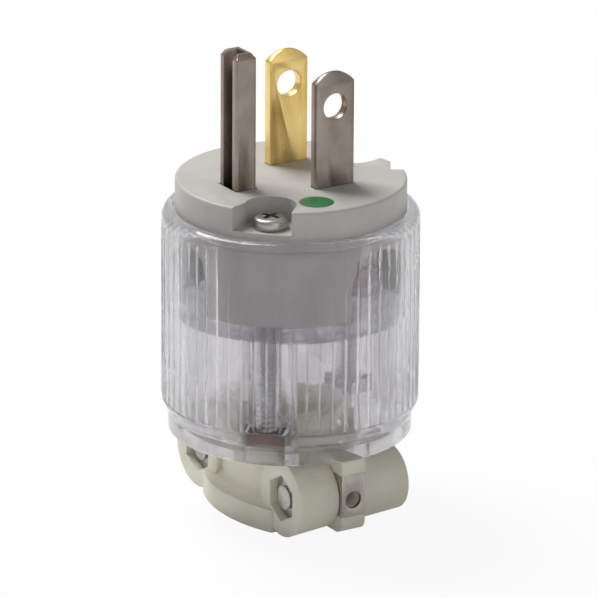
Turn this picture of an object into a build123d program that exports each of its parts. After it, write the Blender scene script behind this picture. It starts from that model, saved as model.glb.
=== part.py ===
from build123d import *
import os
from math import cos, radians, sin, sqrt

os.makedirs("parts", exist_ok=True)

# A rewireable three-pin plug with a clear, fluted cover. It stands upright on its cord clamp.
# Z runs up the plug's axis, and Z = 0 is the surface under the cord clamp.
# X runs from the line blade to the neutral blade, and the ground pin is on the -Y side.
# All sizes are in millimetres and all angles in degrees.

# Heights above the surface that the plug stands on
face_z = 50.0
cover_bottom_z = 12.0
clamp_axis_z = 6.0

# Standard pins, measured from the face and from the line through both blades
blade_spacing = 12.7
blade_width = 6.3
blade_thickness = 1.5
blade_reach = 17.0
blade_tip_radius = 3.9
blade_tip_thickness = 0.6
blade_tip_bevel_length = 1.6
blade_hole_diameter = 3.9
blade_hole_reach = 11.9
blade_line_y = 3.0
ground_distance = 11.9
ground_width = 4.75
ground_depth = 3.4
ground_sheet = 1.15
ground_leg_below_flange = 1.0
ground_corner = 0.45
ground_reach = 20.2
ground_tip_length = 0.8
ground_tip_taper = 40.0

# Front insulator: a thick face with a flange and a long skirt
face_diameter = 33.4
face_edge_round = 0.4
flange_thickness = 6.0
skirt_inset = 0.8
skirt_wall = 2.0
skirt_reach = 17.4
face_dot_diameter = 5.0
face_dot_from_rim = 4.35
face_dot_angle = -14.4
face_dot_depth = 0.4
index_notch_width = 5.6
index_notch_depth = 3.4
index_notch_corner = 2.0
rim_cut_past = 1.0
index_notch_from_rim = 2.35
index_notch_angle = 58.4
index_notch_offset = 6.0

# Long screws that pull the front insulator onto the cover
assembly_from_rim = 3.4
assembly_angles = [-44.0, 105.5]
assembly_shank_diameter = 3.0
assembly_head_diameter = 5.1
assembly_head_height = 1.8
assembly_tip_past_nut = 0.8
recess_width = 7.4
recess_depths = [3.4, 4.3]
recess_flare_angle = 17.5
screw_boss_diameter = 6.8
nut_width = 5.5
nut_thickness = 2.1
nut_base_z = 14.4

# Terminal screws, their pressure plates and the windows beside them
terminal_z = 38.6
terminal_foot_z = 34.0
terminal_side_y = 5.2
terminal_side_width = 8.8
terminal_ground_width = 8.4
terminal_screw_diameter = 3.5
terminal_screw_past_plate = 1.7
terminal_head_diameter = 6.6
terminal_head_height = 2.2
terminal_slot_width = 1.0
terminal_slot_depth = 1.0
pressure_plate_width = 7.6
pressure_plate_thickness = 1.2
pressure_plate_bevel = 0.35
side_window_width = 10.4
side_window_top_z = 42.5
side_tongue_top_z = 34.5
ground_window_width = 6.6
ground_window_top_z = 42.2
ground_tongue_top_z = 35.4

# Clear wire separator under the front insulator
separator_thickness = 2.2
separator_core_width = 1.6
separator_core_height = 11.0
separator_cross_y = -4.2
wire_hole_width = 4.5
wire_hole_round = 0.3
wire_hole_x = 10.15
wire_hole_y = -0.9
ground_wire_x = -6.9
ground_wire_y = -7.65

# Clear cover
cover_lip = 1.95
cover_top_below_face = 4.4
cover_shoulder_round = 1.5
cover_wall = 2.5
cover_step_wall = 3.3
cover_band_inset = 0.95
cover_band_height = 3.0
cover_cone_height = 1.8
cover_floor = 2.4
cover_rim_bevel = 0.4
column_diameter = 7.8
flute_count = 60
flute_width = 0.5
flute_depth = 0.15
flute_top_below_face = 6.2
flute_bottom_z = 17.2

# Cord clamp: a base with two ears, and two jaws that close on the cord
cord_bore_diameter = 11.0
neck_diameter = 15.2
neck_lug_diameter = 18.2
neck_lug_height = 1.5
collar_diameter = 20.0
collar_height = 2.4
collar_half_width = 7.3
clamp_screw_x = 11.8
ear_thickness = 3.9
ear_past_boss = 0.1
ear_inner_x = 6.4
ear_foot_z = 1.0
ear_round = 1.6
strap_sheet = 0.6
strap_low_z = 3.5
strap_high_z = 9.9
strap_inner_x = 8.4
strap_peep_diameter = 2.6
clamp_shank_diameter = 3.5
clamp_nut_width = 6.0
clamp_nut_thickness = 3.0
clamp_nut_sink = 1.1
clamp_head_diameter = 6.4
clamp_head_height = 2.4
clamp_head_proud = 0.5
saddle_diameter = 10.6
saddle_half_width = 9.6
saddle_bulge_y = 11.0
saddle_end_y = 8.9
saddle_band_height = 3.4
saddle_neck_inset = 2.4
saddle_neck_round = 2.0
jaw_height = 9.4
nut_boss_length = 6.6
nut_boss_inner_diameter = 10.5
nut_boss_outer_diameter = 11.4
head_boss_length = 8.0
head_boss_inner_diameter = 10.4
head_boss_outer_diameter = 9.6

# Fits: the play left on each side of a piece
seat_play = 0.1
screw_play = 0.2
thread_play = 0.05

# Places that follow from the sizes above
ground_y = blade_line_y - ground_distance
flange_bottom_z = face_z - flange_thickness
skirt_bottom_z = face_z - skirt_reach
recess_floors = [face_z - depth for depth in recess_depths]
cover_top_z = face_z - cover_top_below_face
separator_top_z = skirt_bottom_z - seat_play
separator_bottom_z = separator_top_z - separator_thickness
face_radius = face_diameter / 2
skirt_radius = face_radius - skirt_inset
assembly_radius = face_radius - assembly_from_rim
face_dot_radius = face_radius - face_dot_from_rim
cover_radius = face_radius + cover_lip
band_radius = cover_radius - cover_band_inset
cover_floor_top_z = cover_bottom_z + cover_floor
blade_outer_x = blade_spacing / 2 + blade_thickness / 2
ground_web_y = ground_y + ground_depth / 2 - ground_sheet
ear_half = ear_thickness / 2
ear_reach = clamp_screw_x + nut_boss_outer_diameter / 2 + ear_past_boss
jaw_face_y = ear_half + seat_play
nut_boss_end_y = jaw_face_y + nut_boss_length
head_boss_end_y = jaw_face_y + head_boss_length
clamp_head_seat_y = head_boss_end_y + clamp_head_proud - clamp_head_height
clamp_nut_outer_y = nut_boss_end_y - clamp_nut_sink


def polar(radius, angle):
    """The point at this radius and angle about the plug's axis."""
    return (radius * cos(radians(angle)), radius * sin(radians(angle)))


assembly_centres = [polar(assembly_radius, angle) for angle in assembly_angles]


def blade_outline():
    """Sketch a blade's flat side: the contact blade above, the wider terminal below the face."""
    tip = face_z + blade_reach
    tip_rise = blade_tip_radius - sqrt(blade_tip_radius**2 - (blade_width / 2) ** 2)
    low_y = blade_line_y - blade_width / 2
    high_y = blade_line_y + blade_width / 2
    terminal_low = terminal_side_y - terminal_side_width / 2
    terminal_high = terminal_side_y + terminal_side_width / 2
    shoulder = flange_bottom_z
    with BuildLine() as outline:
        Line((low_y, tip - tip_rise), (low_y, terminal_foot_z))
        Line((low_y, terminal_foot_z), (terminal_high, terminal_foot_z))
        Line((terminal_high, terminal_foot_z), (terminal_high, shoulder))
        Line((terminal_high, shoulder), (high_y, shoulder))
        Line((high_y, shoulder), (high_y, tip - tip_rise))
        ThreePointArc((high_y, tip - tip_rise), (blade_line_y, tip), (low_y, tip - tip_rise))
    return outline


# Contact blades
def make_blade(side):
    """One flat blade with its screw terminal. side is -1 for line and +1 for neutral."""
    with BuildPart() as blade:
        with BuildSketch(Plane.YZ.offset(side * blade_spacing / 2)):
            with BuildLine():
                add(blade_outline().line)
            make_face()
            with Locations((blade_line_y, face_z + blade_hole_reach)):
                Circle(blade_hole_diameter / 2, mode=Mode.SUBTRACT)
            with Locations((terminal_side_y, terminal_z)):
                Circle(terminal_screw_diameter / 2 + thread_play, mode=Mode.SUBTRACT)
        extrude(amount=blade_thickness / 2, both=True)
        # The tip is a wedge: both flat sides slope in towards the end
        bevel_foot = face_z + blade_reach - blade_tip_bevel_length
        with BuildSketch(Plane.XZ):
            with Locations((side * blade_spacing / 2, terminal_foot_z)):
                Rectangle(
                    blade_thickness,
                    bevel_foot - terminal_foot_z,
                    align=(Align.CENTER, Align.MIN),
                )
            with BuildLine():
                Polyline(
                    (side * blade_spacing / 2 - blade_thickness / 2, bevel_foot),
                    (side * blade_spacing / 2 + blade_thickness / 2, bevel_foot),
                    (side * blade_spacing / 2 + blade_tip_thickness / 2, face_z + blade_reach),
                    (side * blade_spacing / 2 - blade_tip_thickness / 2, face_z + blade_reach),
                    close=True,
                )
            make_face()
        extrude(amount=face_radius, both=True, mode=Mode.INTERSECT)
    return blade


line_blade = make_blade(-1)
line_blade.part.label = "line_blade"
export_step(line_blade.part, "parts/line_blade.step")

neutral_blade = make_blade(1)
neutral_blade.part.label = "neutral_blade"
export_step(neutral_blade.part, "parts/neutral_blade.step")

# Ground pin, folded from sheet into a U that is open on the side away from the blades
ground_tip_z = face_z + ground_reach
ground_leg_z = flange_bottom_z - ground_leg_below_flange
with BuildPart() as ground_pin:
    with BuildSketch(Plane.XY.offset(ground_leg_z)):
        with Locations((0, ground_y)):
            RectangleRounded(ground_width, ground_depth, ground_corner)
    extrude(amount=ground_tip_z - ground_tip_length - ground_leg_z)
    with BuildSketch(Plane.XY.offset(ground_tip_z - ground_tip_length)):
        with Locations((0, ground_y)):
            RectangleRounded(ground_width, ground_depth, ground_corner)
    extrude(amount=ground_tip_length, taper=ground_tip_taper)
    with BuildSketch(Plane.XY.offset(ground_leg_z)):
        with Locations((0, ground_web_y)):
            Rectangle(ground_width - 2 * ground_sheet, ground_depth, align=(Align.CENTER, Align.MAX))
    extrude(amount=ground_tip_z - ground_leg_z, mode=Mode.SUBTRACT)
    with BuildSketch(Plane.XZ.offset(-ground_web_y)):
        with Locations((0, terminal_foot_z)):
            Rectangle(
                terminal_ground_width,
                flange_bottom_z - terminal_foot_z,
                align=(Align.CENTER, Align.MIN),
            )
        with Locations((0, terminal_z)):
            Circle(terminal_screw_diameter / 2 + thread_play, mode=Mode.SUBTRACT)
    extrude(amount=-ground_sheet)
ground_pin.part.label = "ground_pin"
export_step(ground_pin.part, "parts/ground_pin.step")


# Terminal screws and pressure plates
def terminal_plane(outward_x, outward_y, plate_face, along):
    """The plane on a terminal's outer face, at its screw. Its normal points out of the plug."""
    origin = (
        outward_x * plate_face + outward_y * outward_y * along,
        outward_y * plate_face + outward_x * outward_x * along,
        terminal_z,
    )
    return Plane(origin=origin, x_dir=(0, 0, 1), z_dir=(outward_x, outward_y, 0))


line_terminal_plane = terminal_plane(-1, 0, blade_outer_x, terminal_side_y)
neutral_terminal_plane = terminal_plane(1, 0, blade_outer_x, terminal_side_y)
ground_terminal_plane = terminal_plane(0, -1, -ground_web_y, 0)


def make_pressure_plate(plane):
    """The square plate that the screw head presses onto the wire."""
    with BuildPart() as plate:
        with BuildSketch(plane):
            Rectangle(pressure_plate_width, pressure_plate_width)
            Circle(terminal_screw_diameter / 2 + screw_play, mode=Mode.SUBTRACT)
        extrude(amount=pressure_plate_thickness)
        outer_rim = plate.faces().sort_by(Axis(plane.origin, plane.z_dir))[-1].outer_wire().edges()
        chamfer(outer_rim, pressure_plate_bevel)
    return plate


def make_terminal_screw(plane, sheet):
    """A slotted screw, threaded through the terminal's sheet."""
    head_seat = plane.offset(pressure_plate_thickness)
    shank_length = pressure_plate_thickness + sheet + terminal_screw_past_plate
    with BuildPart() as screw:
        with BuildSketch(head_seat):
            Circle(terminal_head_diameter / 2)
        extrude(amount=terminal_head_height)
        with BuildSketch(head_seat):
            Circle(terminal_screw_diameter / 2)
        extrude(amount=-shank_length)
        with BuildSketch(head_seat.offset(terminal_head_height)):
            Rectangle(terminal_slot_width, terminal_head_diameter)
        extrude(amount=-terminal_slot_depth, mode=Mode.SUBTRACT)
    return screw


line_pressure_plate = make_pressure_plate(line_terminal_plane)
line_pressure_plate.part.label = "line_pressure_plate"
export_step(line_pressure_plate.part, "parts/line_pressure_plate.step")

neutral_pressure_plate = make_pressure_plate(neutral_terminal_plane)
neutral_pressure_plate.part.label = "neutral_pressure_plate"
export_step(neutral_pressure_plate.part, "parts/neutral_pressure_plate.step")

ground_pressure_plate = make_pressure_plate(ground_terminal_plane)
ground_pressure_plate.part.label = "ground_pressure_plate"
export_step(ground_pressure_plate.part, "parts/ground_pressure_plate.step")

line_terminal_screw = make_terminal_screw(line_terminal_plane, blade_thickness)
line_terminal_screw.part.label = "line_terminal_screw"
export_step(line_terminal_screw.part, "parts/line_terminal_screw.step")

neutral_terminal_screw = make_terminal_screw(neutral_terminal_plane, blade_thickness)
neutral_terminal_screw.part.label = "neutral_terminal_screw"
export_step(neutral_terminal_screw.part, "parts/neutral_terminal_screw.step")

ground_terminal_screw = make_terminal_screw(ground_terminal_plane, ground_sheet)
ground_terminal_screw.part.label = "ground_terminal_screw"
export_step(ground_terminal_screw.part, "parts/ground_terminal_screw.step")


# Windows in the skirt, each an arch that is open at the skirt's lower edge
def window_sketch(width, top_z, foot_z):
    """Sketch an arch that stands on foot_z, centred on the sketch plane's upright axis."""
    with BuildSketch() as arch:
        with Locations((0, foot_z)):
            Rectangle(width, top_z - width / 2 - foot_z, align=(Align.CENTER, Align.MIN))
        with Locations((0, top_z - width / 2)):
            Circle(width / 2)
    return arch.sketch


side_window = window_sketch(side_window_width, side_window_top_z, skirt_bottom_z)
ground_window = window_sketch(ground_window_width, ground_window_top_z, skirt_bottom_z)
window_far_y = terminal_side_y + side_window_width / 2
window_start = sqrt((skirt_radius - skirt_wall) ** 2 - window_far_y**2) - seat_play
window_length = skirt_radius - window_start + seat_play

# Front insulator
with BuildPart() as front_insulator:
    with BuildSketch(Plane.XY.offset(flange_bottom_z)):
        Circle(face_radius)
    extrude(amount=flange_thickness)
    fillet(front_insulator.faces().sort_by(Axis.Z)[-1].edges(), face_edge_round)
    # Skirt, with a boss for each long screw grown into its wall
    with BuildSketch(Plane.XY.offset(skirt_bottom_z)):
        Circle(skirt_radius)
        Circle(skirt_radius - skirt_wall, mode=Mode.SUBTRACT)
        with Locations(*assembly_centres):
            Circle(screw_boss_diameter / 2)
        Circle(skirt_radius, mode=Mode.INTERSECT)
    extrude(amount=flange_bottom_z - skirt_bottom_z)
    # Arched windows at the three terminal screws
    for side in (-1, 1):
        with BuildSketch(Plane.YZ.offset(side * window_start)):
            with Locations((terminal_side_y, 0)):
                add(side_window)
        extrude(amount=side * window_length, mode=Mode.SUBTRACT)
    with BuildSketch(Plane.XZ.offset(window_start)):
        add(ground_window)
    extrude(amount=window_length, mode=Mode.SUBTRACT)
    # Slots for the blades and the ground pin
    with BuildSketch(Plane.XY.offset(face_z)):
        with Locations((-blade_spacing / 2, blade_line_y), (blade_spacing / 2, blade_line_y)):
            Rectangle(blade_thickness + 2 * seat_play, blade_width + 2 * seat_play)
        with Locations((0, ground_y)):
            Rectangle(ground_width + 2 * seat_play, ground_depth + 2 * seat_play)
    extrude(amount=-flange_thickness, mode=Mode.SUBTRACT)
    # U-shaped recess at each screw head, open at the rim
    for angle, depth in zip(assembly_angles, recess_depths):
        with BuildSketch(Plane.XY.offset(face_z).rotated((0, 0, angle))):
            with Locations((assembly_radius, 0)):
                Circle(recess_width / 2)
                Rectangle(face_radius / 2, recess_width, align=(Align.MIN, Align.CENTER))
        extrude(amount=-depth, mode=Mode.SUBTRACT)
    # The front recess is flared on its clockwise side
    flare = polar(face_radius, assembly_angles[0] - recess_flare_angle)
    flare_foot = polar(assembly_radius, assembly_angles[0])
    flare_out = polar(face_radius + rim_cut_past, assembly_angles[0] - recess_flare_angle)
    flare_mouth = polar(face_radius + rim_cut_past, assembly_angles[0])
    wall_turn = assembly_angles[0] - 90
    wall_foot_x = flare_foot[0] + recess_width / 2 * cos(radians(wall_turn))
    wall_foot_y = flare_foot[1] + recess_width / 2 * sin(radians(wall_turn))
    with BuildSketch(Plane.XY.offset(face_z)):
        with BuildLine():
            Polyline(
                (wall_foot_x, wall_foot_y), flare, flare_out, flare_mouth, flare_foot, close=True
            )
        make_face()
    extrude(amount=-recess_depths[0], mode=Mode.SUBTRACT)
    # Index notch in the rim, with a bevelled corner beside the rear recess
    notch_x = face_radius - index_notch_from_rim
    notch_low = index_notch_offset - index_notch_width / 2
    notch_high = index_notch_offset + index_notch_width / 2
    with BuildSketch(Plane.XY.offset(face_z).rotated((0, 0, index_notch_angle))):
        with BuildLine():
            Polyline(
                (notch_x, notch_low),
                (notch_x, notch_high - index_notch_corner),
                (notch_x - 0.85 * index_notch_corner, notch_high),
                (notch_x - 0.85 * index_notch_corner, face_radius),
                (face_radius + rim_cut_past, face_radius),
                (face_radius + rim_cut_past, notch_low),
                close=True,
            )
        make_face()
    extrude(amount=-index_notch_depth, mode=Mode.SUBTRACT)
    # Clearance holes for the long screws and the shallow seat of the coloured dot
    with BuildSketch(Plane.XY.offset(face_z)):
        with Locations(*assembly_centres):
            Circle(assembly_shank_diameter / 2 + screw_play)
    extrude(amount=-skirt_reach, mode=Mode.SUBTRACT)
    with BuildSketch(Plane.XY.offset(face_z)):
        with Locations(polar(face_dot_radius, face_dot_angle)):
            Circle(face_dot_diameter / 2)
    extrude(amount=-face_dot_depth, mode=Mode.SUBTRACT)
front_insulator.part.label = "front_insulator"
export_step(front_insulator.part, "parts/front_insulator.step")

# Coloured dot, set flush into the face
with BuildPart() as face_dot:
    with BuildSketch(Plane.XY.offset(face_z - face_dot_depth)):
        with Locations(polar(face_dot_radius, face_dot_angle)):
            Circle(face_dot_diameter / 2)
    extrude(amount=face_dot_depth)
face_dot.part.label = "face_dot"
export_step(face_dot.part, "parts/face_dot.step")

# Wire separator: a disc under the skirt, partitions between the terminals and a tongue in each window
separator_radius = skirt_radius
partition_top_z = separator_top_z + separator_core_height
tongue_inner = skirt_radius - skirt_wall
with BuildPart() as wire_separator:
    with BuildSketch(Plane.XY.offset(separator_bottom_z)):
        Circle(separator_radius)
    extrude(amount=separator_thickness)
    # Partitions, T-shaped in plan
    with BuildSketch(Plane.XY.offset(separator_top_z)):
        with Locations((0, separator_cross_y)):
            Rectangle(
                separator_core_width,
                assembly_radius - separator_cross_y - recess_width,
                align=(Align.CENTER, Align.MIN),
            )
            Rectangle(blade_spacing + separator_core_width, separator_core_width)
    extrude(amount=separator_core_height)
    # Pads that hold the feet of the terminals
    with BuildSketch(Plane.XY.offset(separator_top_z)):
        with Locations((-blade_spacing / 2, terminal_side_y), (blade_spacing / 2, terminal_side_y)):
            Rectangle(blade_thickness * 2, terminal_side_width)
        with Locations((0, ground_web_y + ground_sheet / 2)):
            Rectangle(terminal_ground_width, blade_thickness * 2)
    extrude(amount=terminal_foot_z - separator_top_z)
    # Tongues that close the foot of each window
    for side in (-1, 1):
        with BuildSketch(Plane.XY.offset(separator_top_z)):
            Circle(separator_radius)
            Circle(tongue_inner, mode=Mode.SUBTRACT)
            with Locations((side * separator_radius, terminal_side_y)):
                Rectangle(
                    separator_radius, side_window_width - 2 * seat_play, mode=Mode.INTERSECT
                )
        extrude(amount=side_tongue_top_z - separator_top_z)
    with BuildSketch(Plane.XY.offset(separator_top_z)):
        Circle(separator_radius)
        Circle(tongue_inner, mode=Mode.SUBTRACT)
        with Locations((0, -separator_radius)):
            Rectangle(ground_window_width - 2 * seat_play, separator_radius, mode=Mode.INTERSECT)
    extrude(amount=ground_tongue_top_z - separator_top_z)
    # Holes for the wires and for the long screws
    with BuildSketch(Plane.XY.offset(separator_top_z)):
        with Locations(*assembly_centres):
            Circle(assembly_shank_diameter / 2 + screw_play)
        with Locations(
            (-wire_hole_x, wire_hole_y), (wire_hole_x, wire_hole_y), (ground_wire_x, ground_wire_y)
        ):
            RectangleRounded(wire_hole_width, wire_hole_width, wire_hole_round)
    extrude(amount=-separator_thickness, mode=Mode.SUBTRACT)
wire_separator.part.label = "wire_separator"
export_step(wire_separator.part, "parts/wire_separator.step")

# Clear cover
band_top_z = cover_bottom_z + cover_band_height
full_bottom_z = band_top_z + cover_cone_height
shoulder_z = cover_top_z - cover_shoulder_round
flange_seat_radius = face_radius + seat_play
bore_radius = cover_radius - cover_wall
step_radius = cover_radius - cover_step_wall
neck_hole_radius = neck_diameter / 2 + seat_play
with BuildPart() as cover:
    with BuildSketch(Plane.XZ):
        with BuildLine():
            Polyline(
                (0, cover_bottom_z),
                (band_radius, cover_bottom_z),
                (band_radius, band_top_z),
                (cover_radius, full_bottom_z),
                (cover_radius, shoulder_z),
            )
            TangentArc(
                (cover_radius, shoulder_z),
                (cover_radius - cover_shoulder_round, cover_top_z),
                tangent=(0, 1),
            )
            Polyline(
                (cover_radius - cover_shoulder_round, cover_top_z),
                (flange_seat_radius, cover_top_z),
                (flange_seat_radius, flange_bottom_z),
                (bore_radius, flange_bottom_z),
                (bore_radius, separator_bottom_z),
                (step_radius, separator_bottom_z),
                (step_radius, cover_floor_top_z),
                (0, cover_floor_top_z),
                (0, cover_bottom_z),
            )
        make_face()
    revolve(axis=Axis.Z)
    bottom_rim = cover.edges().filter_by(GeomType.CIRCLE).group_by(Axis.Z)[0]
    chamfer(bottom_rim, cover_rim_bevel)
    # Columns for the long screws, grown into the wall
    with BuildSketch(Plane.XY.offset(cover_floor_top_z)):
        with Locations(*assembly_centres):
            Circle(column_diameter / 2)
        Circle(step_radius + seat_play, mode=Mode.INTERSECT)
    extrude(amount=separator_bottom_z - cover_floor_top_z)
    with BuildSketch(Plane.XY.offset(separator_bottom_z)):
        with Locations(*assembly_centres):
            Circle(assembly_shank_diameter / 2 + screw_play)
    extrude(amount=cover_bottom_z - separator_bottom_z, mode=Mode.SUBTRACT)
    # Pockets for the square nuts, open underneath
    for angle in assembly_angles:
        with BuildSketch(Plane.XY.offset(cover_bottom_z).rotated((0, 0, angle))):
            with Locations((assembly_radius, 0)):
                Rectangle(nut_width + 2 * seat_play, nut_width + 2 * seat_play)
        extrude(amount=nut_base_z + nut_thickness - cover_bottom_z, mode=Mode.SUBTRACT)
    # Hole for the clamp's neck, with two notches that let its lugs in
    with BuildSketch(Plane.XY.offset(cover_bottom_z)):
        Circle(neck_hole_radius)
        Circle(neck_lug_diameter / 2 + seat_play)
        with Locations((0, 0)):
            Rectangle(neck_lug_diameter + 2 * rim_cut_past, neck_diameter / 2, mode=Mode.INTERSECT)
        Circle(neck_hole_radius)
    extrude(amount=cover_floor, mode=Mode.SUBTRACT)
    # Shallow flutes all round the grip
    with BuildSketch(Plane.XY.offset(flute_bottom_z)):
        with PolarLocations(cover_radius, flute_count):
            Polygon(
                (-flute_depth, 0),
                (flute_depth, -flute_width),
                (flute_depth, flute_width),
                align=None,
            )
    extrude(amount=face_z - flute_top_below_face - flute_bottom_z, mode=Mode.SUBTRACT)
cover.part.label = "cover"
export_step(cover.part, "parts/cover.step")


# Long screws with bevelled heads, and their square nuts
def make_long_screw(centre, floor_z):
    """One long screw, with its head standing on the floor of its recess."""
    slot_width = assembly_head_diameter * 0.16
    slot_length = assembly_head_diameter * 0.6
    with BuildPart() as screw:
        with BuildSketch(Plane.XY.offset(floor_z)):
            with Locations(centre):
                Circle(assembly_head_diameter / 2)
        extrude(amount=assembly_head_height)
        chamfer(screw.faces().sort_by(Axis.Z)[-1].edges(), assembly_head_height / 3)
        with BuildSketch(Plane.XY.offset(floor_z)):
            with Locations(centre):
                Circle(assembly_shank_diameter / 2)
        extrude(amount=nut_base_z - assembly_tip_past_nut - floor_z)
        with BuildSketch(Plane.XY.offset(floor_z + assembly_head_height)):
            with Locations(centre):
                Rectangle(slot_length, slot_width)
                Rectangle(slot_width, slot_length)
        extrude(amount=-assembly_head_height / 2, mode=Mode.SUBTRACT)
    return screw


long_screws = []
for centre, floor_z in zip(assembly_centres, recess_floors):
    long_screws.append(make_long_screw(centre, floor_z))
with BuildPart() as assembly_screws:
    for screw in long_screws:
        add(screw.part)
assembly_screws.part.label = "assembly_screws"
export_step(assembly_screws.part, "parts/assembly_screws.step")

with BuildPart() as assembly_nuts:
    for angle in assembly_angles:
        with BuildSketch(Plane.XY.offset(nut_base_z).rotated((0, 0, angle))):
            with Locations((assembly_radius, 0)):
                Rectangle(nut_width, nut_width)
                Circle(assembly_shank_diameter / 2 + thread_play, mode=Mode.SUBTRACT)
        extrude(amount=nut_thickness)
assembly_nuts.part.label = "assembly_nuts"
export_step(assembly_nuts.part, "parts/assembly_nuts.step")

# Clamp base: a collar under the cover, a neck with bayonet lugs and two ears for the jaws
neck_top_z = cover_floor_top_z + seat_play + neck_lug_height
with BuildPart() as clamp_base:
    with BuildSketch(Plane.XY.offset(cover_bottom_z - collar_height)):
        Circle(collar_diameter / 2)
        Rectangle(2 * collar_half_width, collar_diameter, mode=Mode.INTERSECT)
    extrude(amount=collar_height)
    with BuildSketch(Plane.XY.offset(cover_bottom_z)):
        Circle(neck_diameter / 2)
    extrude(amount=neck_top_z - cover_bottom_z)
    with BuildSketch(Plane.XY.offset(neck_top_z - neck_lug_height)):
        Circle(neck_lug_diameter / 2)
        Rectangle(neck_diameter / 2 - seat_play, neck_lug_diameter, mode=Mode.INTERSECT)
    extrude(amount=neck_lug_height)
    for side in (-1, 1):
        with BuildSketch(Plane.XZ):
            with BuildLine():
                Polyline(
                    (side * ear_inner_x, cover_bottom_z),
                    (side * ear_inner_x, cover_bottom_z - collar_height),
                    (side * (ear_inner_x + ear_round), ear_foot_z),
                    (side * ear_reach, ear_foot_z),
                    (side * ear_reach, cover_bottom_z),
                    close=True,
                )
            make_face()
        extrude(amount=ear_half, both=True)
    foot_edges = clamp_base.edges().filter_by(Axis.Y).group_by(Axis.Z)[0]
    fillet(foot_edges, ear_round)
    # Bore for the cord, and holes for the clamp screws
    with BuildSketch(Plane.XY.offset(neck_top_z)):
        Circle(cord_bore_diameter / 2)
    extrude(amount=cover_bottom_z - collar_height - neck_top_z, mode=Mode.SUBTRACT)
    with BuildSketch(Plane.XZ.offset(-ear_half)):
        with Locations((-clamp_screw_x, clamp_axis_z), (clamp_screw_x, clamp_axis_z)):
            Circle(clamp_shank_diameter / 2 + screw_play)
    extrude(amount=ear_thickness, mode=Mode.SUBTRACT)
    # Recess for the strap round each ear
    for side in (-1, 1):
        with BuildSketch(Plane.XY.offset(strap_low_z)):
            with Locations((side * (strap_inner_x + ear_reach) / 2, 0)):
                Rectangle(ear_reach - strap_inner_x, ear_thickness)
            with Locations((side * (strap_inner_x + ear_reach - 2 * strap_sheet) / 2, 0)):
                Rectangle(
                    ear_reach - strap_inner_x,
                    ear_thickness - 2 * strap_sheet,
                    mode=Mode.SUBTRACT,
                )
        extrude(amount=strap_high_z - strap_low_z, mode=Mode.SUBTRACT)
    # Peep holes from the ear's outer face to the screw
    with BuildSketch(Plane.YZ.offset(-ear_reach)):
        with Locations((0, clamp_axis_z)):
            Circle(strap_peep_diameter / 2)
    extrude(amount=ear_reach - clamp_screw_x, mode=Mode.SUBTRACT)
    with BuildSketch(Plane.YZ.offset(clamp_screw_x)):
        with Locations((0, clamp_axis_z)):
            Circle(strap_peep_diameter / 2)
    extrude(amount=ear_reach - clamp_screw_x, mode=Mode.SUBTRACT)
clamp_base.part.label = "clamp_base"
export_step(clamp_base.part, "parts/clamp_base.step")


# Plated straps, each a U of sheet round one ear
def make_strap(side):
    """The strap round the ear on one side of the plug: side is -1 or +1."""
    strap_length = ear_reach - strap_inner_x
    with BuildPart() as strap:
        with BuildSketch(Plane.XY.offset(strap_low_z)):
            with Locations((side * (strap_inner_x + ear_reach) / 2, 0)):
                Rectangle(strap_length, ear_thickness)
            with Locations((side * (strap_inner_x + ear_reach - 2 * strap_sheet) / 2, 0)):
                Rectangle(strap_length, ear_thickness - 2 * strap_sheet, mode=Mode.SUBTRACT)
        extrude(amount=strap_high_z - strap_low_z)
        with BuildSketch(Plane.XZ.offset(-ear_half)):
            with Locations((side * clamp_screw_x, clamp_axis_z)):
                Circle(clamp_shank_diameter / 2 + screw_play)
        extrude(amount=ear_thickness, mode=Mode.SUBTRACT)
        with BuildSketch(Plane.YZ.offset(side * (ear_reach - strap_sheet))):
            with Locations((0, clamp_axis_z)):
                Circle(strap_peep_diameter / 2)
        extrude(amount=side * strap_sheet, mode=Mode.SUBTRACT)
    return strap


line_side_strap = make_strap(-1)
line_side_strap.part.label = "line_side_strap"
export_step(line_side_strap.part, "parts/line_side_strap.step")

neutral_side_strap = make_strap(1)
neutral_side_strap.part.label = "neutral_side_strap"
export_step(neutral_side_strap.part, "parts/neutral_side_strap.step")


# Clamp jaws
def saddle_outline(bulge_y, end_y, direction):
    """Sketch a jaw's plan: flat towards the other jaw, bulging away from the cord."""
    half = saddle_half_width
    with BuildSketch() as plan:
        with BuildLine():
            Polyline(
                (half, direction * end_y),
                (half, direction * jaw_face_y),
                (-half, direction * jaw_face_y),
                (-half, direction * end_y),
            )
            ThreePointArc(
                (-half, direction * end_y), (0, direction * bulge_y), (half, direction * end_y)
            )
        make_face()
        Circle(saddle_diameter / 2, mode=Mode.SUBTRACT)
    return plan.sketch


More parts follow.
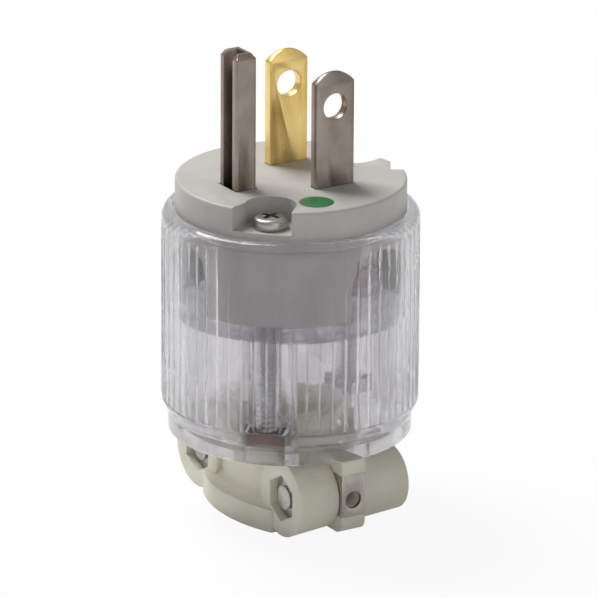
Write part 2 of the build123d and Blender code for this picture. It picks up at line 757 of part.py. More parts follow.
def make_jaw(direction, boss_length, inner_diameter, outer_diameter):
    """One jaw of the cord clamp: a saddle between two screw bosses. direction is its side in Y."""
    neck_bulge = saddle_bulge_y - saddle_neck_inset
    neck_end = saddle_end_y - saddle_neck_inset
    boss_taper = (inner_diameter - outer_diameter) / 2 / boss_length
    with BuildPart() as jaw:
        with BuildSketch(Plane.XY):
            add(saddle_outline(saddle_bulge_y, saddle_end_y, direction))
        extrude(amount=saddle_band_height)
        with BuildSketch(Plane.XY.offset(saddle_band_height)):
            add(saddle_outline(neck_bulge, neck_end, direction))
        extrude(amount=jaw_height - saddle_band_height)
        step_edge = (
            jaw.edges()
            .filter_by(GeomType.CIRCLE)
            .filter_by_position(Axis.Z, saddle_band_height - 0.01, saddle_band_height + 0.01)
            .filter_by(lambda edge: abs(edge.radius - saddle_diameter / 2) > 1)
            .sort_by(lambda edge: abs(edge.center().Y))
        )
        fillet(step_edge[0], saddle_neck_round)
        # Tapered bosses round the clamp screws
        for side in (-1, 1):
            inner = Plane(
                origin=(side * clamp_screw_x, direction * jaw_face_y, clamp_axis_z),
                x_dir=(1, 0, 0),
                z_dir=(0, direction, 0),
            )
            with BuildSketch(inner):
                Circle(inner_diameter / 2)
            with BuildSketch(inner.offset(boss_length)):
                Circle(outer_diameter / 2)
            loft()
        # Holes for the shanks
        with BuildSketch(Plane.XZ.offset(-direction * jaw_face_y)):
            with Locations((-clamp_screw_x, clamp_axis_z), (clamp_screw_x, clamp_axis_z)):
                Circle(clamp_shank_diameter / 2 + screw_play)
        extrude(amount=-direction * boss_length, mode=Mode.SUBTRACT)
    return jaw


nut_jaw_blank = make_jaw(-1, nut_boss_length, nut_boss_inner_diameter, nut_boss_outer_diameter)
with BuildPart() as nut_jaw:
    add(nut_jaw_blank.part)
    with BuildSketch(Plane.XZ.offset(nut_boss_end_y)):
        with Locations((-clamp_screw_x, clamp_axis_z), (clamp_screw_x, clamp_axis_z)):
            RegularPolygon(
                clamp_nut_width / 2 + seat_play, 6, major_radius=False, rotation=30
            )
    extrude(amount=-(clamp_nut_sink + clamp_nut_thickness), mode=Mode.SUBTRACT)
nut_jaw.part.label = "nut_jaw"
export_step(nut_jaw.part, "parts/nut_jaw.step")

screw_jaw_blank = make_jaw(1, head_boss_length, head_boss_inner_diameter, head_boss_outer_diameter)
with BuildPart() as screw_jaw:
    add(screw_jaw_blank.part)
    with BuildSketch(Plane.XZ.offset(-head_boss_end_y)):
        with Locations((-clamp_screw_x, clamp_axis_z), (clamp_screw_x, clamp_axis_z)):
            Circle(clamp_head_diameter / 2 + seat_play)
    extrude(amount=head_boss_end_y - clamp_head_seat_y, mode=Mode.SUBTRACT)
screw_jaw.part.label = "screw_jaw"
export_step(screw_jaw.part, "parts/screw_jaw.step")

# Clamp screws and their hexagonal nuts
with BuildPart() as clamp_screws:
    with BuildSketch(Plane.XZ.offset(-clamp_head_seat_y)):
        with Locations((-clamp_screw_x, clamp_axis_z), (clamp_screw_x, clamp_axis_z)):
            Circle(clamp_head_diameter / 2)
    extrude(amount=-clamp_head_height)
    with BuildSketch(Plane.XZ.offset(-clamp_head_seat_y)):
        with Locations((-clamp_screw_x, clamp_axis_z), (clamp_screw_x, clamp_axis_z)):
            Circle(clamp_shank_diameter / 2)
    extrude(amount=clamp_head_seat_y + clamp_nut_outer_y)
clamp_screws.part.label = "clamp_screws"
export_step(clamp_screws.part, "parts/clamp_screws.step")

with BuildPart() as clamp_nuts:
    with BuildSketch(Plane.XZ.offset(clamp_nut_outer_y - clamp_nut_thickness)):
        with Locations((-clamp_screw_x, clamp_axis_z), (clamp_screw_x, clamp_axis_z)):
            RegularPolygon(clamp_nut_width / 2, 6, major_radius=False, rotation=30)
            Circle(clamp_shank_diameter / 2 + thread_play, mode=Mode.SUBTRACT)
    extrude(amount=clamp_nut_thickness)
clamp_nuts.part.label = "clamp_nuts"
export_step(clamp_nuts.part, "parts/clamp_nuts.step")
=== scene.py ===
# %% [markdown]
# # A clear-covered mains plug
# This lesson dresses a plug that stands on its cord clamp with its blades in the air.
# The frame comes from the CAD model, so every piece already has its size and its place.
# Here each piece gets its finish, and the pieces that need finer shapes are modelled again.

# %% Load the frame
import bpy
import math
from mathutils import Matrix, Vector


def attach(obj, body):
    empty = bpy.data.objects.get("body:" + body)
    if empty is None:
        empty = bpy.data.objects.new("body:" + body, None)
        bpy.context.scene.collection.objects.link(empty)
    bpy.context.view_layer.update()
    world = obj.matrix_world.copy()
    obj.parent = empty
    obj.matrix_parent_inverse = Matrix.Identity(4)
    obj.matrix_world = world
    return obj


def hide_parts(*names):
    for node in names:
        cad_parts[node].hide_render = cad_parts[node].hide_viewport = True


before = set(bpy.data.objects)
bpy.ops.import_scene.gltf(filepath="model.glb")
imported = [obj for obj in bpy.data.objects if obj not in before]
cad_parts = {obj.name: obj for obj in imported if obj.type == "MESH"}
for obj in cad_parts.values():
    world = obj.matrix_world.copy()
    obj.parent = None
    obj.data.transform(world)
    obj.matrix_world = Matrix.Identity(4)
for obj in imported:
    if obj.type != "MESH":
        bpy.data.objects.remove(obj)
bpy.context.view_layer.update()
MM = 0.001
print("pieces in the frame:", len(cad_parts))

# %% [markdown]
# ## Helpers for materials
# All finishes are node materials that read Object coordinates in metres.
# A grain of a fifth of a millimetre therefore has a noise scale of about 5000.
# Each helper adds one step: coordinates, a noise pattern, its range, its colours or its relief.

# %% Material helpers


def new_material(name):
    """A material with an empty node tree, apart from its shader and its output."""
    material = bpy.data.materials.new(name)
    material.use_nodes = True
    tree = material.node_tree
    shader = tree.nodes["Principled BSDF"]
    return material, tree, shader


def object_coordinates(tree, stretch=(1, 1, 1)):
    """Object coordinates, stretched along the axes for grain that runs one way."""
    source = tree.nodes.new("ShaderNodeTexCoord")
    mapping = tree.nodes.new("ShaderNodeMapping")
    mapping.inputs["Scale"].default_value = stretch
    tree.links.new(source.outputs["Object"], mapping.inputs["Vector"])
    return mapping.outputs["Vector"]


def noise(tree, vector, scale, detail=3.0, roughness=0.5):
    """A noise pattern at this scale, as a value of about 0 to 1."""
    node = tree.nodes.new("ShaderNodeTexNoise")
    node.inputs["Scale"].default_value = scale
    node.inputs["Detail"].default_value = detail
    node.inputs["Roughness"].default_value = roughness
    tree.links.new(vector, node.inputs["Vector"])
    return node.outputs["Fac"]


def spread(tree, value, low, high, start=0.3, end=0.7):
    """Maps a pattern's middle range to low and high."""
    node = tree.nodes.new("ShaderNodeMapRange")
    node.inputs["From Min"].default_value = start
    node.inputs["From Max"].default_value = end
    node.inputs["To Min"].default_value = low
    node.inputs["To Max"].default_value = high
    tree.links.new(value, node.inputs["Value"])
    return node.outputs["Result"]


def two_tones(tree, value, dark, light, start=0.35, end=0.65):
    """A colour that drifts between two tones with a pattern."""
    ramp = tree.nodes.new("ShaderNodeValToRGB")
    ramp.color_ramp.elements[0].position = start
    ramp.color_ramp.elements[1].position = end
    ramp.color_ramp.elements[0].color = (*dark, 1)
    ramp.color_ramp.elements[1].color = (*light, 1)
    tree.links.new(value, ramp.inputs["Fac"])
    return ramp.outputs["Color"]


def bump(tree, shader, height, distance):
    """Raises the surface by distance metres where the pattern is high."""
    node = tree.nodes.new("ShaderNodeBump")
    node.inputs["Distance"].default_value = distance
    tree.links.new(height, node.inputs["Height"])
    tree.links.new(node.outputs["Normal"], shader.inputs["Normal"])


# %% [markdown]
# ## Moulded plastics
# The grey insulator and the beige clamp are moulded in tools with a fine satin texture.
# Their colour drifts very slightly, and small handling marks change the gloss.

# %% Satin plastics


def satin_plastic(name, dark, light, rough_low, rough_high, grain_height):
    """Opaque moulded plastic with a fine even grain and faint mottling."""
    material, tree, shader = new_material(name)
    vector = object_coordinates(tree)
    mottling = noise(tree, vector, scale=160, detail=4.0)
    tree.links.new(two_tones(tree, mottling, dark, light), shader.inputs["Base Color"])
    handling = noise(tree, vector, scale=420, detail=5.0, roughness=0.6)
    tree.links.new(spread(tree, handling, rough_low, rough_high), shader.inputs["Roughness"])
    grain = noise(tree, vector, scale=4200, detail=2.0)
    bump(tree, shader, grain, grain_height)
    return material


grey_plastic = satin_plastic(
    "grey_insulator", (0.505, 0.485, 0.458), (0.555, 0.535, 0.508), 0.38, 0.5, 0.00001
)
beige_plastic = satin_plastic(
    "beige_clamp", (0.77, 0.75, 0.615), (0.83, 0.81, 0.675), 0.36, 0.48, 0.000012
)
print("satin plastics:", grey_plastic.name, beige_plastic.name)

# %% [markdown]
# ## Clear plastic
# The cover and the wire separator are clear polycarbonate.
# Transmission bends what is behind the wall. An index of refraction a little under the real one,
# and some plain transparency, keep the parts inside easy to see.
# A faint flow pattern keeps the highlights from being perfectly even.

# %% Clear plastic


def clear_plastic(name, dark, light, clearness, see_through, rough, waves):
    """Slightly milky, see-through moulded plastic that bends light a little."""
    material, tree, shader = new_material(name)
    shader.inputs["Transmission Weight"].default_value = clearness
    shader.inputs["IOR"].default_value = 1.43
    shader.inputs["Alpha"].default_value = see_through
    vector = object_coordinates(tree, (1, 1, 0.4))
    flow = noise(tree, vector, scale=260)
    tree.links.new(two_tones(tree, flow, dark, light), shader.inputs["Base Color"])
    tree.links.new(spread(tree, flow, rough, rough * 2), shader.inputs["Roughness"])
    bump(tree, shader, flow, waves)
    return material


cover_plastic = clear_plastic(
    "clear_cover", (0.66, 0.645, 0.68), (0.72, 0.705, 0.74), 0.985, 0.78, 0.003, 0.0000006
)
separator_plastic = clear_plastic(
    "clear_separator", (0.78, 0.77, 0.82), (0.86, 0.85, 0.89), 0.94, 0.8, 0.008, 0.000006
)
print("clear plastics:", cover_plastic.name, separator_plastic.name)

# %% [markdown]
# ## Metals
# The blades are stamped from drawn strip, so fine lines run along them.
# The screws are plated, with a more even finish, and the dot on the face is green enamel.

# %% Metals


def drawn_metal(name, dark, light, rough_low, rough_high, stretch):
    """Metal strip with fine lines along one axis and faint tarnish."""
    material, tree, shader = new_material(name)
    shader.inputs["Metallic"].default_value = 1.0
    tarnish = noise(tree, object_coordinates(tree), scale=210, detail=4.0, roughness=0.6)
    tree.links.new(two_tones(tree, tarnish, dark, light), shader.inputs["Base Color"])
    lines = noise(tree, object_coordinates(tree, stretch), scale=5200, detail=2.0)
    tree.links.new(spread(tree, lines, rough_low, rough_high), shader.inputs["Roughness"])
    bump(tree, shader, lines, 0.000004)
    return material


UPRIGHT_LINES = (1, 1, 0.04)
EVEN_GRAIN = (1, 1, 1)
brass = drawn_metal(
    "drawn_brass", (0.86, 0.61, 0.21), (0.94, 0.71, 0.29), 0.26, 0.4, UPRIGHT_LINES
)
nickel = drawn_metal(
    "drawn_nickel", (0.27, 0.222, 0.19), (0.35, 0.295, 0.257), 0.26, 0.4, UPRIGHT_LINES
)
steel = drawn_metal(
    "plated_steel", (0.36, 0.36, 0.34), (0.5, 0.5, 0.48), 0.25, 0.4, EVEN_GRAIN
)
strap_nickel = drawn_metal(
    "strap_nickel", (0.38, 0.335, 0.31), (0.5, 0.45, 0.42), 0.25, 0.38, EVEN_GRAIN
)
bronze = drawn_metal(
    "dark_bronze", (0.12, 0.07, 0.05), (0.2, 0.13, 0.1), 0.3, 0.45, EVEN_GRAIN
)
green_plate = drawn_metal(
    "green_plate", (0.03, 0.16, 0.07), (0.06, 0.26, 0.12), 0.28, 0.42, EVEN_GRAIN
)
green_enamel, enamel_tree, enamel_shader = new_material("green_enamel")
enamel_speckle = noise(enamel_tree, object_coordinates(enamel_tree), scale=900, detail=4.0)
enamel_colour = two_tones(enamel_tree, enamel_speckle, (0.012, 0.14, 0.04), (0.02, 0.2, 0.06))
enamel_tree.links.new(enamel_colour, enamel_shader.inputs["Base Color"])
enamel_gloss = spread(enamel_tree, enamel_speckle, 0.3, 0.42)
enamel_tree.links.new(enamel_gloss, enamel_shader.inputs["Roughness"])
bump(enamel_tree, enamel_shader, enamel_speckle, 0.00001)
print("metals and enamel are made")

# %% [markdown]
# ## Dress the frame's own pieces
# A piece whose CAD shape is right keeps it, and only gets its finish.

# %% Finishes for the frame's pieces
finishes = {
    "face_dot": green_enamel,
    "wire_separator": separator_plastic,
    "line_terminal_screw": brass,
    "neutral_terminal_screw": nickel,
    "ground_terminal_screw": green_plate,
    "line_pressure_plate": brass,
    "neutral_pressure_plate": nickel,
    "ground_pressure_plate": nickel,
}
for node_name, finish in finishes.items():
    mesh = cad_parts[node_name].data
    mesh.materials.clear()
    mesh.materials.append(finish)
print("dressed:", len(finishes))

# %% [markdown]
# ## Helpers for modelling
# Most pieces of a plug are turned, so they start as one vertex that is extruded along half of
# their section and then spun round an axis.
# A modifier could revolve the section too, but spinning leaves plain faces to cut and mark.

# %% Modelling helpers


def only_select(piece):
    """Selects one piece and makes it active."""
    bpy.ops.object.select_all(action="DESELECT")
    piece.select_set(True)
    bpy.context.view_layer.objects.active = piece


def settle(piece):
    """Moves the place, turn and size of a piece into its mesh."""
    only_select(piece)
    bpy.ops.object.transform_apply(location=True, rotation=True, scale=True)


def use_modifier(piece, kind, **settings):
    """Adds a modifier with these settings and applies it."""
    only_select(piece)
    modifier = piece.modifiers.new(kind.lower(), kind)
    for setting, value in settings.items():
        setattr(modifier, setting, value)
    bpy.ops.object.modifier_apply(modifier=modifier.name)


def combine(piece, tool, operation):
    """Joins a tool to a piece, or cuts it away, and deletes the tool."""
    use_modifier(piece, "BOOLEAN", object=tool, operation=operation, solver="EXACT")
    bpy.data.objects.remove(tool)


def turned(name, section, steps, closed=True):
    """Spins a section of (radius, height) points in millimetres round the Z axis."""
    bpy.ops.object.select_all(action="DESELECT")
    bpy.ops.mesh.primitive_plane_add(size=MM)
    piece = bpy.context.active_object
    piece.name = name
    bpy.ops.object.mode_set(mode="EDIT")
    bpy.ops.mesh.select_all(action="SELECT")
    bpy.ops.mesh.merge(type="CENTER")
    bpy.ops.transform.translate(value=(section[0][0] * MM, 0, section[0][1] * MM))
    after = section[1:] + section[:1] if closed else section[1:]
    for here, there in zip(section, after):
        step = ((there[0] - here[0]) * MM, 0, (there[1] - here[1]) * MM)
        bpy.ops.mesh.extrude_region_move(TRANSFORM_OT_translate={"value": step})
    bpy.ops.mesh.select_all(action="SELECT")
    bpy.ops.mesh.remove_doubles(threshold=0.001 * MM)
    bpy.ops.mesh.spin(steps=steps, angle=math.tau, center=(0, 0, 0), axis=(0, 0, 1))
    bpy.ops.mesh.select_all(action="SELECT")
    bpy.ops.mesh.remove_doubles(threshold=0.001 * MM)
    bpy.ops.mesh.normals_make_consistent(inside=False)
    bpy.ops.object.mode_set(mode="OBJECT")
    return piece


def rounded(centre, radius, start, end, count=4):
    """Points of an arc in a section, from start to end in degrees."""
    points = []
    for index in range(count + 1):
        angle = math.radians(start + (end - start) * index / count)
        points.append((centre[0] + radius * math.cos(angle), centre[1] + radius * math.sin(angle)))
    return points


def rod(radius, low, high, place=(0, 0), sides=48):
    """An upright rod, as a tool for cutting or joining."""
    bpy.ops.object.select_all(action="DESELECT")
    bpy.ops.mesh.primitive_cylinder_add(
        vertices=sides,
        radius=radius * MM,
        depth=(high - low) * MM,
        location=(place[0] * MM, place[1] * MM, (low + high) / 2 * MM),
    )
    piece = bpy.context.active_object
    settle(piece)
    return piece


def block(size, middle, turn=0.0):
    """An upright block turned round Z, as a tool or a start."""
    bpy.ops.object.select_all(action="DESELECT")
    bpy.ops.mesh.primitive_cube_add(
        size=1,
        location=[value * MM for value in middle],
        rotation=(0, 0, math.radians(turn)),
        scale=[value * MM for value in size],
    )
    piece = bpy.context.active_object
    settle(piece)
    return piece


def finish_piece(piece, material, slot, *nodes, smooth=35):
    """Gives a piece its finish, and says which body and nodes it belongs to. The slot is not used.
    """
    only_select(piece)
    bpy.ops.object.shade_smooth_by_angle(angle=math.radians(smooth))
    piece.data.materials.clear()
    piece.data.materials.append(material)
    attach(piece, "root")
    if nodes:
        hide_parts(*nodes)
    print(piece.name, "has", len(piece.data.polygons), "faces")


# %% [markdown]
# ## The clear cover
# The real cover is one moulding with a smooth shoulder, sixty fine ridges for the fingers and
# a smooth band at its foot. It is spun in one-degree steps, and every sixth column of its
# grip is drawn out to a ridge, with the columns on both sides pulled close to keep it thin.
# Bevelled ribs stuck onto a tube would show their hidden faces through clear plastic.

# %% Turn the cover
COVER_FOOT = 12.0
COVER_RADIUS = 18.65
COVER_TOP = 45.6
SHOULDER_ROUND = 1.5
FOOT_ROUND = 0.4
BAND_RADIUS = 17.7
NECK_RADIUS = 7.7
FLOOR_TOP = 14.4
FLOOR_CORNER = 0.3
CHAMBER_RADIUS = 15.35
SKIRT_RADIUS = 16.15
SKIRT_SEAT = 30.3
FLANGE_RADIUS = 16.8
FLANGE_SEAT = 44.0
RIM_BEVEL = 0.1
GRIP_RADIUS = 18.46
GRIP_LOW = 17.3
GRIP_HIGH = 43.7
GRIP_ROWS = (17.0, 17.5, 24.0, 30.0, 37.0, 43.5, 43.8)
RIDGE_SPACING = 6
RIDGE_HALF = 0.6
# the floor's outside and the smooth band
cover_section = [(NECK_RADIUS, COVER_FOOT)]
foot_middle = (BAND_RADIUS - FOOT_ROUND, COVER_FOOT + FOOT_ROUND)
cover_section += rounded(foot_middle, FOOT_ROUND, -90, 0, 3)
cover_section += [(BAND_RADIUS, 14.6), (BAND_RADIUS + 0.08, 15.0), (BAND_RADIUS + 0.3, 15.5)]
# the step out to the grip, the grip's rows and the shoulder
cover_section += [(COVER_RADIUS - 0.2, 16.3), (COVER_RADIUS - 0.04, 16.7)]
cover_section += [(COVER_RADIUS - 0.06, 16.9)]
cover_section += [(GRIP_RADIUS, row) for row in GRIP_ROWS]
shoulder_middle = (COVER_RADIUS - SHOULDER_ROUND, COVER_TOP - SHOULDER_ROUND)
cover_section += rounded(shoulder_middle, SHOULDER_ROUND, 0, 90, 8)
# the seats of the insulator's flange and skirt, and the chamber for the wires
cover_section += [(FLANGE_RADIUS + RIM_BEVEL, COVER_TOP), (FLANGE_RADIUS, COVER_TOP - RIM_BEVEL)]
cover_section += [(FLANGE_RADIUS, FLANGE_SEAT), (SKIRT_RADIUS, FLANGE_SEAT)]
cover_section += [(SKIRT_RADIUS, SKIRT_SEAT), (CHAMBER_RADIUS, SKIRT_SEAT)]
cover_section += [(CHAMBER_RADIUS, FLOOR_TOP + FLOOR_CORNER)]
cover_section += [(CHAMBER_RADIUS - FLOOR_CORNER, FLOOR_TOP), (NECK_RADIUS, FLOOR_TOP)]
clear_cover = turned("clear_cover", cover_section, 360)
for vertex in clear_cover.data.vertices:
    radius = math.hypot(vertex.co.x, vertex.co.y) / MM
    height = vertex.co.z / MM
    if radius < GRIP_RADIUS - 0.02 or not GRIP_LOW < height < GRIP_HIGH:
        continue
    angle = math.degrees(math.atan2(vertex.co.y, vertex.co.x))
    column = round(angle) % RIDGE_SPACING
    if column == 0:
        radius = COVER_RADIUS
    elif column == 1:
        angle -= 1 - RIDGE_HALF
    elif column == RIDGE_SPACING - 1:
        angle += 1 - RIDGE_HALF
    vertex.co.x = radius * MM * math.cos(math.radians(angle))
    vertex.co.y = radius * MM * math.sin(math.radians(angle))
print("cover starts with", len(clear_cover.data.polygons), "faces")

# %% [markdown]
# Two columns guide the long screws, and each ends in a square pocket for a nut.
# The neck of the cord clamp enters by a round hole with two notches.

# %% Columns, pockets and holes
SCREW_RING = 13.3
SCREW_ANGLES = (-44.0, 105.5)
COLUMN_RADIUS = 3.9
COLUMN_FOOT = 13.5
COLUMN_TOP = 30.29
CUT_LOW = 11.0
SCREW_BORE = 1.7
BORE_TOP = 31.0
POCKET_WIDTH = 5.7
POCKET_TOP = 16.5
NOTCH_RADIUS = 9.2
NOTCH_TOP = 15.0
NOTCH_BLOCK = (19.2, 7.6, 5.0)


def on_ring(radius, angle):
    """The point at this radius and angle in degrees, in millimetres."""
    return (radius * math.cos(math.radians(angle)), radius * math.sin(math.radians(angle)))


screw_places = [on_ring(SCREW_RING, angle) for angle in SCREW_ANGLES]
for place in screw_places:
    combine(clear_cover, rod(COLUMN_RADIUS, COLUMN_FOOT, COLUMN_TOP, place), "UNION")
pocket_size = (POCKET_WIDTH, POCKET_WIDTH, POCKET_TOP - CUT_LOW)
pocket_middle = (CUT_LOW + POCKET_TOP) / 2
for place, angle in zip(screw_places, SCREW_ANGLES):
    combine(clear_cover, rod(SCREW_BORE, CUT_LOW, BORE_TOP, place, 32), "DIFFERENCE")
    combine(clear_cover, block(pocket_size, (*place, pocket_middle), angle), "DIFFERENCE")
lug_notch = rod(NOTCH_RADIUS, CUT_LOW, NOTCH_TOP, sides=64)
notch_middle = (CUT_LOW + NOTCH_TOP) / 2
combine(lug_notch, block(NOTCH_BLOCK, (0, 0, notch_middle)), "INTERSECT")
combine(clear_cover, lug_notch, "DIFFERENCE")
finish_piece(clear_cover, cover_plastic, "clear_plastic", "cover", smooth=28)

# %% [markdown]
# ## Screws and nuts
# Real screws have a wound thread, a pressed recess and soft edges on the head.
# Each kind is turned once, its thread is wound by moving the rows of the shank in and out,
# and its recess is cut. The second screw is a copy with its own mesh.

# %% Helpers for fasteners


def wind_thread(piece, radius, low, high, pitch, depth):
    """Winds a thread round the shank of an upright screw that stands on the axis."""
    for vertex in piece.data.vertices:
        height = vertex.co.z / MM
        off_shank = abs(math.hypot(vertex.co.x, vertex.co.y) / MM - radius) > 0.01
        if off_shank or not low < height < high:
            continue
        part_turn = math.atan2(vertex.co.y, vertex.co.x) / math.tau
        phase = (height / pitch - part_turn) % 1.0
        share = 1 - depth / radius * abs(2 * phase - 1)
        vertex.co.x *= share
        vertex.co.y *= share


def shank_rows(radius, high, low, step):
    """Points down a shank in a section, close enough together for a thread."""
    count = int((high - low) / step)
    return [(radius, high - step * index) for index in range(1, count)]


def set_in_places(piece, places, turn=(0, 0, 0), spins=(0, 0)):
    """Copies a fastener to each place, turned first, and joins the copies into one piece."""
    copies = [piece, piece.copy()]
    copies[1].data = piece.data.copy()
    bpy.context.scene.collection.objects.link(copies[1])
    for part, place, spin in zip(copies, places, spins):
        part.location = [value * MM for value in place]
        part.rotation_euler = (turn[0], turn[1], turn[2] + math.radians(spin))
        settle(part)
    only_select(copies[0])
    copies[1].select_set(True)
    bpy.ops.object.join()
    return copies[0]


# %% [markdown]
# The long screws have low round heads with a cross recess, and stand in the face's recesses.

# %% Long screws
HEAD_FLOORS = (46.6, 45.7)
HEAD_HEIGHT = 1.8
SHANK_LENGTH = 32.6
LONG_SHANK = 1.5
LONG_THREAD_TOP = -20.0
CROSS_SLOT = (3.0, 0.75, 1.6)
CROSS_ANGLES = (20, 110)
long_section = [(0, HEAD_HEIGHT), (0.9, HEAD_HEIGHT - 0.02), (1.5, HEAD_HEIGHT - 0.08)]
long_section += rounded((1.85, HEAD_HEIGHT - 0.85), 0.7, 80, 0, 6)
long_section += [(2.55, 0.2), (2.45, 0), (LONG_SHANK, 0)]
long_section += shank_rows(LONG_SHANK, LONG_THREAD_TOP, -SHANK_LENGTH, 0.1)
long_section += [(1.2, -SHANK_LENGTH), (0, -SHANK_LENGTH)]
long_screws = turned("long_screws", long_section, 32, closed=False)
long_thread = (-SHANK_LENGTH + 0.25, LONG_THREAD_TOP - 0.3)
wind_thread(long_screws, LONG_SHANK, *long_thread, pitch=0.8, depth=0.22)
for cross_angle in CROSS_ANGLES:
    cross_slot = block(CROSS_SLOT, (0, 0, HEAD_HEIGHT), cross_angle)
    combine(long_screws, cross_slot, "DIFFERENCE")
combine(long_screws, rod(0.62, HEAD_HEIGHT - 1.1, HEAD_HEIGHT + 1, sides=16), "DIFFERENCE")
long_places = [(*place, floor) for place, floor in zip(screw_places, HEAD_FLOORS)]
long_screws = set_in_places(long_screws, long_places, spins=(0, 55))
finish_piece(long_screws, steel, "steel", "assembly_screws")

# %% [markdown]
# Their square nuts lie at the top of the pockets under the columns, with softened corners.

# %% Square nuts
NUT_WIDTH = 5.5
NUT_HEIGHT = 2.1
square_nuts = block((NUT_WIDTH, NUT_WIDTH, NUT_HEIGHT), (0, 0, NUT_HEIGHT / 2))
square_nuts.name = "square_nuts"
use_modifier(square_nuts, "BEVEL", width=0.3 * MM, segments=3, limit_method="ANGLE")
combine(square_nuts, rod(1.45, -1.0, 4.0, sides=32), "DIFFERENCE")
nut_places = [(*place, POCKET_TOP - NUT_HEIGHT) for place in screw_places]
square_nuts = set_in_places(square_nuts, nut_places, spins=SCREW_ANGLES)
finish_piece(square_nuts, bronze, "brass", "assembly_nuts")

# %% [markdown]
# The clamp screws lie across the plug. Their ends stand a little proud of the six-sided nuts,
# so each shows as a bright disc with a dark side in its hexagonal recess.

# %% Clamp screws and nuts
CLAMP_X = 11.8
CLAMP_Z = 6.0
HEAD_TOP = 10.55
TIP_END = -8.3
HEAD_BASE = 8.15
CLAMP_SHANK = 1.75
CLAMP_THREAD_TOP = 4.0
HEAD_SLOT = (6.6, 0.9, 2.0)
HEX_NUT_RADIUS = 3.464
HEX_NUT_HEIGHT = 3.0
HEX_NUT_Y = -6.05
clamp_section = [(0, HEAD_TOP)] + rounded((2.7, HEAD_TOP - 0.5), 0.5, 90, 0, 4)
clamp_section += [(3.2, 8.3), (3.1, HEAD_BASE), (CLAMP_SHANK, HEAD_BASE)]
clamp_section += shank_rows(CLAMP_SHANK, CLAMP_THREAD_TOP, TIP_END, 0.1)
clamp_section += [(1.45, TIP_END), (0, TIP_END)]
machine_screws = turned("machine_screws", clamp_section, 32, closed=False)
clamp_thread = (TIP_END + 0.3, CLAMP_THREAD_TOP - 0.3)
wind_thread(machine_screws, CLAMP_SHANK, *clamp_thread, pitch=0.7, depth=0.25)
combine(machine_screws, block(HEAD_SLOT, (0, 0, HEAD_TOP)), "DIFFERENCE")
clamp_places = [(-CLAMP_X, 0, CLAMP_Z), (CLAMP_X, 0, CLAMP_Z)]
ACROSS = (-math.pi / 2, 0, 0)
machine_screws = set_in_places(machine_screws, clamp_places, ACROSS)
finish_piece(machine_screws, steel, "steel", "clamp_screws")

bpy.ops.object.select_all(action="DESELECT")
bpy.ops.mesh.primitive_cylinder_add(
    vertices=6, radius=HEX_NUT_RADIUS * MM, depth=HEX_NUT_HEIGHT * MM
)
hex_nuts = bpy.context.active_object
hex_nuts.name = "hex_nuts"
turned_cone = [(0, 1.5), (2.85, 1.5), (3.55, 1.1), (3.55, -1.1), (2.85, -1.5), (0, -1.5)]
combine(hex_nuts, turned("nut_cone", turned_cone, 48, closed=False), "INTERSECT")
combine(hex_nuts, rod(1.62, -3.0, 3.0, sides=32), "DIFFERENCE")
nut_middles = [(-CLAMP_X, HEX_NUT_Y, CLAMP_Z), (CLAMP_X, HEX_NUT_Y, CLAMP_Z)]
hex_nuts = set_in_places(hex_nuts, nut_middles, ACROSS)
finish_piece(hex_nuts, steel, "steel", "clamp_nuts")

# %% [markdown]
# ## Soft edges on moulded and stamped pieces
# Neither moulded plastic nor stamped strip has knife edges, and a soft edge catches the light.
# The CAD shapes are right, so each is copied and merged, its flat areas are joined up again,
# and a bevel modifier rounds what is still sharp.

# %% Round the sharp edges


def soft_copy(node, name, width):
    """A copy of a node with its sharp edges rounded."""
    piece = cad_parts[node].copy()
    piece.data = piece.data.copy()
    piece.name = name
    bpy.context.scene.collection.objects.link(piece)
    only_select(piece)
    bpy.ops.object.mode_set(mode="EDIT")
    bpy.ops.mesh.select_all(action="SELECT")
    bpy.ops.mesh.remove_doubles(threshold=0.002 * MM)
    bpy.ops.mesh.dissolve_limited(angle_limit=math.radians(1))
    bpy.ops.object.mode_set(mode="OBJECT")
    use_modifier(
        piece,
        "BEVEL",
        width=width * MM,
        segments=2,
        limit_method="ANGLE",
        angle_limit=math.radians(35),
        use_clamp_overlap=True,
    )
    return piece


# node, piece, edge width in millimetres, finish and slot
SOFT_PIECES = [
    ("nut_jaw", "jaw_nut_side", 0.22, beige_plastic, "beige_plastic"),
    ("screw_jaw", "jaw_screw_side", 0.22, beige_plastic, "beige_plastic"),
    ("clamp_base", "collar_and_ears", 0.2, beige_plastic, "beige_plastic"),
    ("front_insulator", "front_disc_and_skirt", 0.15, grey_plastic, "grey_plastic"),
    ("line_blade", "brass_blade", 0.1, brass, "brass"),
    ("neutral_blade", "nickel_blade", 0.1, nickel, "nickel_plate"),
    ("ground_pin", "folded_ground_pin", 0.1, nickel, "nickel_plate"),
    ("line_side_strap", "strap_line_side", 0.08, strap_nickel, "nickel_plate"),
    ("neutral_side_strap", "strap_neutral_side", 0.08, strap_nickel, "nickel_plate"),
]
for node, name, width, material, slot in SOFT_PIECES:
    finish_piece(soft_copy(node, name, width), material, slot, node)

# %% [markdown]
# ## Floor, world and lamps
# The plug stands on a white floor in soft light from above and behind on the left.
# The camera sees a white surround through the light path node, also through clear plastic.
# Mirror rays see it darker, so that the metal keeps its contrast, and other rays see it darkest.

# %% Studio
FLOOR_GLOW_SHARE = 0.92
FLOOR_GLOSS = 0.45
WORLD_GLOSS = 0.3
WORLD_LIGHT = 0.22
AIM_HEIGHT = 0.035


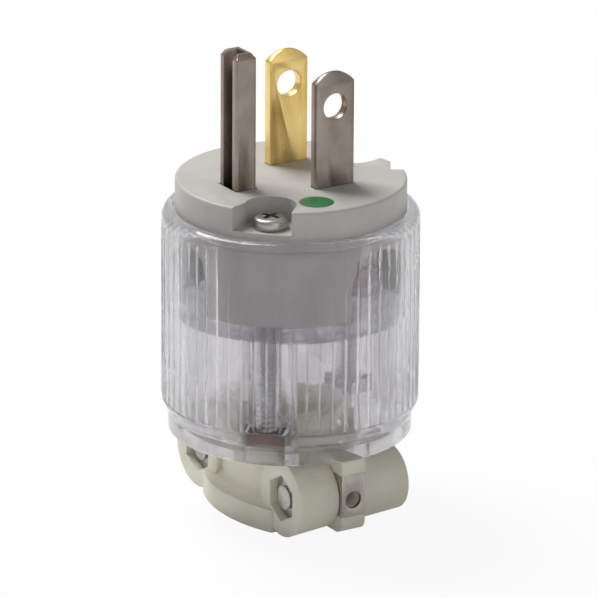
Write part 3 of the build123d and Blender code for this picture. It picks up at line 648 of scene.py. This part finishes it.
def seen_as_white(tree, gloss):
    """One for camera and transmission rays, gloss for mirror rays and nought for the others."""
    path = tree.nodes.new("ShaderNodeLightPath")
    seen = tree.nodes.new("ShaderNodeMath")
    seen.operation = "MAXIMUM"
    share = tree.nodes.new("ShaderNodeMath")
    share.operation = "MULTIPLY_ADD"
    share.inputs[1].default_value = gloss
    tree.links.new(path.outputs["Is Camera Ray"], seen.inputs[0])
    tree.links.new(path.outputs["Is Transmission Ray"], seen.inputs[1])
    tree.links.new(path.outputs["Is Glossy Ray"], share.inputs[0])
    tree.links.new(seen.outputs[0], share.inputs[2])
    return share.outputs[0]


bpy.ops.object.select_all(action="DESELECT")
bpy.ops.mesh.primitive_plane_add(size=6.0, location=(0, 0, 0))
floor = bpy.context.active_object
floor.name = "studio_floor"
floor_material, floor_tree, floor_shader = new_material("white_floor")
floor_shader.inputs["Base Color"].default_value = (0.9, 0.9, 0.9, 1)
floor_shader.inputs["Roughness"].default_value = 0.9
floor_glow = floor_tree.nodes.new("ShaderNodeEmission")
floor_glow.inputs["Strength"].default_value = 1.0
floor_mix = floor_tree.nodes.new("ShaderNodeMixShader")
floor_share = floor_tree.nodes.new("ShaderNodeMath")
floor_share.operation = "MULTIPLY"
floor_share.inputs[1].default_value = FLOOR_GLOW_SHARE
floor_tree.links.new(seen_as_white(floor_tree, FLOOR_GLOSS), floor_share.inputs[0])
floor_tree.links.new(floor_share.outputs[0], floor_mix.inputs["Fac"])
floor_tree.links.new(floor_shader.outputs["BSDF"], floor_mix.inputs[1])
floor_tree.links.new(floor_glow.outputs["Emission"], floor_mix.inputs[2])
floor_output = floor_tree.nodes["Material Output"]
floor_tree.links.new(floor_mix.outputs[0], floor_output.inputs["Surface"])
floor.data.materials.append(floor_material)

world = bpy.data.worlds.new("studio")
bpy.context.scene.world = world
world.use_nodes = True
sky_tree = world.node_tree
sky = sky_tree.nodes["Background"]
sky.inputs["Color"].default_value = (1, 1, 1, 1)
sky_strength = sky_tree.nodes.new("ShaderNodeMapRange")
sky_strength.inputs["To Min"].default_value = WORLD_LIGHT
sky_strength.inputs["To Max"].default_value = 1.0
sky_tree.links.new(seen_as_white(sky_tree, WORLD_GLOSS), sky_strength.inputs["Value"])
sky_tree.links.new(sky_strength.outputs["Result"], sky.inputs["Strength"])


def soft_lamp(name, place, size, power):
    """A square lamp at place, in metres, that faces the plug's middle."""
    lamp_data = bpy.data.lights.new(name, "AREA")
    lamp_data.size = size
    lamp_data.energy = power
    lamp = bpy.data.objects.new(name, lamp_data)
    bpy.context.scene.collection.objects.link(lamp)
    aim = Vector((0, 0, AIM_HEIGHT)) - Vector(place)
    lamp.rotation_euler = aim.to_track_quat("-Z", "Y").to_euler()
    lamp.location = place


soft_lamp("key_lamp", (-0.50, -0.12, 0.87), 0.5, 9.7)
soft_lamp("fill_lamp", (0.95, 0.15, 0.40), 0.8, 1.2)
print("studio is lit")

# %% [markdown]
# ## Camera
# The camera stands a metre away, with a long lens, a little above the plug.

# %% Camera
camera_place = Vector((807.73, -496.15, 364.20)) * MM
camera_back = Vector((0.8033, -0.4949, 0.3314)).normalized()
camera_right = Vector((0.5245, 0.8514, 0)).normalized()
camera_up = camera_back.cross(camera_right).normalized()
camera_roll = math.radians(0.339)
rolled_right = camera_right * math.cos(camera_roll) + camera_up * math.sin(camera_roll)
rolled_up = camera_back.cross(rolled_right)
camera_data = bpy.data.cameras.new("camera")
camera_data.lens = 418.67
camera_data.sensor_width = 36.0
camera_data.clip_start = 0.05
camera_data.clip_end = 20.0
camera = bpy.data.objects.new("camera", camera_data)
bpy.context.scene.collection.objects.link(camera)
camera_turn = Matrix((rolled_right, rolled_up, camera_back)).transposed().to_4x4()
camera.matrix_world = Matrix.Translation(camera_place) @ camera_turn
bpy.context.scene.camera = camera
bpy.context.scene.view_settings.view_transform = "Standard"
print("camera at", [round(value, 4) for value in camera_place])

# %% [markdown]
# ## Finish

# %% Finish
print("scene is built")
